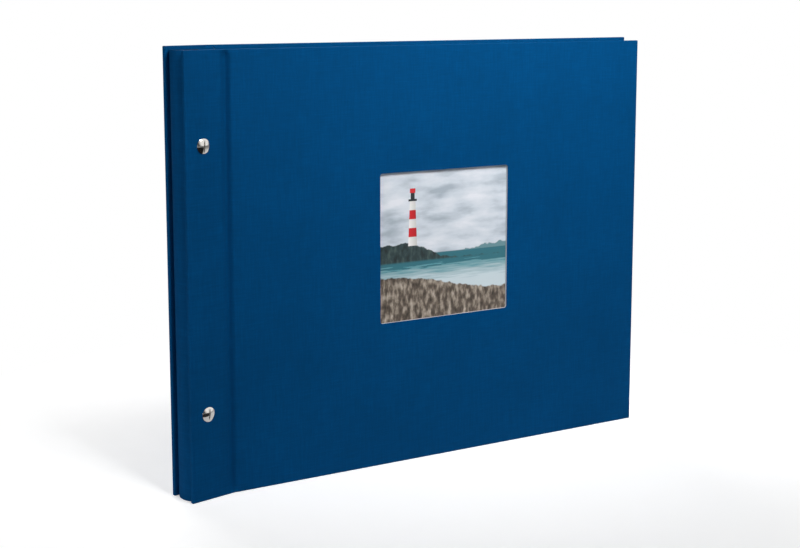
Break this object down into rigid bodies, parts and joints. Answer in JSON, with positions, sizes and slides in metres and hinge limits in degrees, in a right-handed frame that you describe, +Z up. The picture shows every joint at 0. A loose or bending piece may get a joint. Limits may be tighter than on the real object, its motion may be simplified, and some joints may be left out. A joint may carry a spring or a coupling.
{
  "type": "scrapbook album",
  "caption": "Screw-post scrapbook album in blue linen bookcloth, with hinged covers, a window in the front cover and turning leaves.",
  "frame": {"origin": "middle of the front cover's foot edge", "axes": "+X along the front cover towards the fore edge, -Y out of the front cover, +Z up towards the head"},
  "size_m": [0.3944, 0.0318, 0.3124],
  "materials": {
    "blue_bookcloth": "fine linen weave",
    "window_board": "matt, light core",
    "binder_board": "matt grey",
    "lining_paper": "matt",
    "leaf_card": "matt",
    "spacer_card": "matt",
    "picture_print": "satin photographic print",
    "spine_card": "matt",
    "polished_nickel": "polished"
  },
  "bodies": {
    "spine": {"front_strip_board": "binder_board", "front_strip_cloth": "blue_bookcloth", "rear_strip_board": "binder_board", "rear_strip_cloth": "blue_bookcloth", "spine_wrap_cloth": "blue_bookcloth", "spine_wrap_card": "spine_card", "leaf_stubs": "leaf_card", "leaf_spacers": "spacer_card", "upper_post": "polished_nickel", "lower_post": "polished_nickel", "front_hinge_cloth": "blue_bookcloth", "rear_hinge_cloth": "blue_bookcloth"},
    "front_cover": {"front_cloth": "blue_bookcloth", "front_window_board": "window_board", "front_backing_board": "binder_board", "window_picture": "picture_print", "front_lining_paper": "lining_paper"},
    "rear_cover": {"rear_cloth": "blue_bookcloth", "rear_board": "binder_board", "rear_lining_paper": "lining_paper"},
    "upper_screw": {"upper_screw": "polished_nickel"},
    "lower_screw": {"lower_screw": "polished_nickel"},
    "leaf_01": {"leaf_01": "leaf_card"},
    "leaf_02": {"leaf_02": "leaf_card"},
    "leaf_03": {"leaf_03": "leaf_card"},
    "leaf_04": {"leaf_04": "leaf_card"},
    "leaf_05": {"leaf_05": "leaf_card"},
    "leaf_06": {"leaf_06": "leaf_card"},
    "leaf_07": {"leaf_07": "leaf_card"},
    "leaf_08": {"leaf_08": "leaf_card"},
    "leaf_09": {"leaf_09": "leaf_card"},
    "leaf_10": {"leaf_10": "leaf_card"},
    "leaf_11": {"leaf_11": "leaf_card"},
    "leaf_12": {"leaf_12": "leaf_card"},
    "leaf_13": {"leaf_13": "leaf_card"},
    "leaf_14": {"leaf_14": "leaf_card"},
    "leaf_15": {"leaf_15": "leaf_card"},
    "leaf_16": {"leaf_16": "leaf_card"},
    "leaf_17": {"leaf_17": "leaf_card"},
    "leaf_18": {"leaf_18": "leaf_card"},
    "leaf_19": {"leaf_19": "leaf_card"},
    "leaf_20": {"leaf_20": "leaf_card"}
  },
  "joints": [
    {"name": "front_cover_hinge", "type": "hinge", "parent": "spine", "child": "front_cover", "pos_m": [-0.17945, -0.0015, 0.155], "axis": [0, 0, -1], "range_deg": [0, 155], "deforming": ["front_hinge_cloth"]},
    {"name": "rear_cover_hinge", "type": "hinge", "parent": "spine", "child": "rear_cover", "pos_m": [-0.1846, 0.02337, 0.155], "axis": [0, 0, 1], "range_deg": [0, 175], "deforming": ["rear_hinge_cloth"]},
    {"name": "upper_screw_turn", "type": "hinge", "parent": "spine", "child": "upper_screw", "pos_m": [-0.19933, -0.00562, 0.246], "axis": [0.2028, -0.9792, 0], "continuous": true},
    {"name": "lower_screw_turn", "type": "hinge", "parent": "spine", "child": "lower_screw", "pos_m": [-0.19933, -0.00562, 0.061], "axis": [0.2028, -0.9792, 0], "continuous": true},
    {"name": "leaf_01_turn", "type": "hinge", "parent": "spine", "child": "leaf_01", "pos_m": [-0.18039, 0.00306, 0.155], "axis": [0, 0, -1], "range_deg": [0, 54.01]},
    {"name": "leaf_02_turn", "type": "hinge", "parent": "spine", "child": "leaf_02", "pos_m": [-0.18057, 0.00392, 0.155], "axis": [0, 0, -1], "range_deg": [0, 51.31]},
    {"name": "leaf_03_turn", "type": "hinge", "parent": "spine", "child": "leaf_03", "pos_m": [-0.18075, 0.00478, 0.155], "axis": [0, 0, -1], "range_deg": [0, 48.61]},
    {"name": "leaf_04_turn", "type": "hinge", "parent": "spine", "child": "leaf_04", "pos_m": [-0.18093, 0.00564, 0.155], "axis": [0, 0, -1], "range_deg": [0, 45.91]},
    {"name": "leaf_05_turn", "type": "hinge", "parent": "spine", "child": "leaf_05", "pos_m": [-0.18111, 0.00651, 0.155], "axis": [0, 0, -1], "range_deg": [0, 43.21]},
    {"name": "leaf_06_turn", "type": "hinge", "parent": "spine", "child": "leaf_06", "pos_m": [-0.18129, 0.00737, 0.155], "axis": [0, 0, -1], "range_deg": [0, 40.51]},
    {"name": "leaf_07_turn", "type": "hinge", "parent": "spine", "child": "leaf_07", "pos_m": [-0.18146, 0.00823, 0.155], "axis": [0, 0, -1], "range_deg": [0, 37.81]},
    {"name": "leaf_08_turn", "type": "hinge", "parent": "spine", "child": "leaf_08", "pos_m": [-0.18164, 0.00909, 0.155], "axis": [0, 0, -1], "range_deg": [0, 35.11]},
    {"name": "leaf_09_turn", "type": "hinge", "parent": "spine", "child": "leaf_09", "pos_m": [-0.18182, 0.00995, 0.155], "axis": [0, 0, -1], "range_deg": [0, 32.41]},
    {"name": "leaf_10_turn", "type": "hinge", "parent": "spine", "child": "leaf_10", "pos_m": [-0.182, 0.01081, 0.155], "axis": [0, 0, -1], "range_deg": [0, 29.71]},
    {"name": "leaf_11_turn", "type": "hinge", "parent": "spine", "child": "leaf_11", "pos_m": [-0.18218, 0.01168, 0.155], "axis": [0, 0, -1], "range_deg": [0, 27.01]},
    {"name": "leaf_12_turn", "type": "hinge", "parent": "spine", "child": "leaf_12", "pos_m": [-0.18236, 0.01254, 0.155], "axis": [0, 0, -1], "range_deg": [0, 24.31]},
    {"name": "leaf_13_turn", "type": "hinge", "parent": "spine", "child": "leaf_13", "pos_m": [-0.18254, 0.0134, 0.155], "axis": [0, 0, -1], "range_deg": [0, 21.61]},
    {"name": "leaf_14_turn", "type": "hinge", "parent": "spine", "child": "leaf_14", "pos_m": [-0.18271, 0.01426, 0.155], "axis": [0, 0, -1], "range_deg": [0, 18.91]},
    {"name": "leaf_15_turn", "type": "hinge", "parent": "spine", "child": "leaf_15", "pos_m": [-0.18289, 0.01512, 0.155], "axis": [0, 0, -1], "range_deg": [0, 16.21]},
    {"name": "leaf_16_turn", "type": "hinge", "parent": "spine", "child": "leaf_16", "pos_m": [-0.18307, 0.01598, 0.155], "axis": [0, 0, -1], "range_deg": [0, 13.51]},
    {"name": "leaf_17_turn", "type": "hinge", "parent": "spine", "child": "leaf_17", "pos_m": [-0.18325, 0.01685, 0.155], "axis": [0, 0, -1], "range_deg": [0, 10.81]},
    {"name": "leaf_18_turn", "type": "hinge", "parent": "spine", "child": "leaf_18", "pos_m": [-0.18343, 0.01771, 0.155], "axis": [0, 0, -1], "range_deg": [0, 8.11]},
    {"name": "leaf_19_turn", "type": "hinge", "parent": "spine", "child": "leaf_19", "pos_m": [-0.18361, 0.01857, 0.155], "axis": [0, 0, -1], "range_deg": [0, 5.41]},
    {"name": "leaf_20_turn", "type": "hinge", "parent": "spine", "child": "leaf_20", "pos_m": [-0.18378, 0.01943, 0.155], "axis": [0, 0, -1], "range_deg": [0, 2.71]}
  ],
  "couplings": [
    {"joint": "leaf_01_turn", "follows": "front_cover_hinge", "ratio": 0.34839},
    {"joint": "leaf_02_turn", "follows": "front_cover_hinge", "ratio": 0.33097},
    {"joint": "leaf_03_turn", "follows": "front_cover_hinge", "ratio": 0.31355},
    {"joint": "leaf_04_turn", "follows": "front_cover_hinge", "ratio": 0.29613},
    {"joint": "leaf_05_turn", "follows": "front_cover_hinge", "ratio": 0.27871},
    {"joint": "leaf_06_turn", "follows": "front_cover_hinge", "ratio": 0.26129},
    {"joint": "leaf_07_turn", "follows": "front_cover_hinge", "ratio": 0.24387},
    {"joint": "leaf_08_turn", "follows": "front_cover_hinge", "ratio": 0.22645},
    {"joint": "leaf_09_turn", "follows": "front_cover_hinge", "ratio": 0.20903},
    {"joint": "leaf_10_turn", "follows": "front_cover_hinge", "ratio": 0.19161},
    {"joint": "leaf_11_turn", "follows": "front_cover_hinge", "ratio": 0.17419},
    {"joint": "leaf_12_turn", "follows": "front_cover_hinge", "ratio": 0.15677},
    {"joint": "leaf_13_turn", "follows": "front_cover_hinge", "ratio": 0.13936},
    {"joint": "leaf_14_turn", "follows": "front_cover_hinge", "ratio": 0.12194},
    {"joint": "leaf_15_turn", "follows": "front_cover_hinge", "ratio": 0.10452},
    {"joint": "leaf_16_turn", "follows": "front_cover_hinge", "ratio": 0.087097},
    {"joint": "leaf_17_turn", "follows": "front_cover_hinge", "ratio": 0.069677},
    {"joint": "leaf_18_turn", "follows": "front_cover_hinge", "ratio": 0.052258},
    {"joint": "leaf_19_turn", "follows": "front_cover_hinge", "ratio": 0.034839},
    {"joint": "leaf_20_turn", "follows": "front_cover_hinge", "ratio": 0.017419}
  ]
}
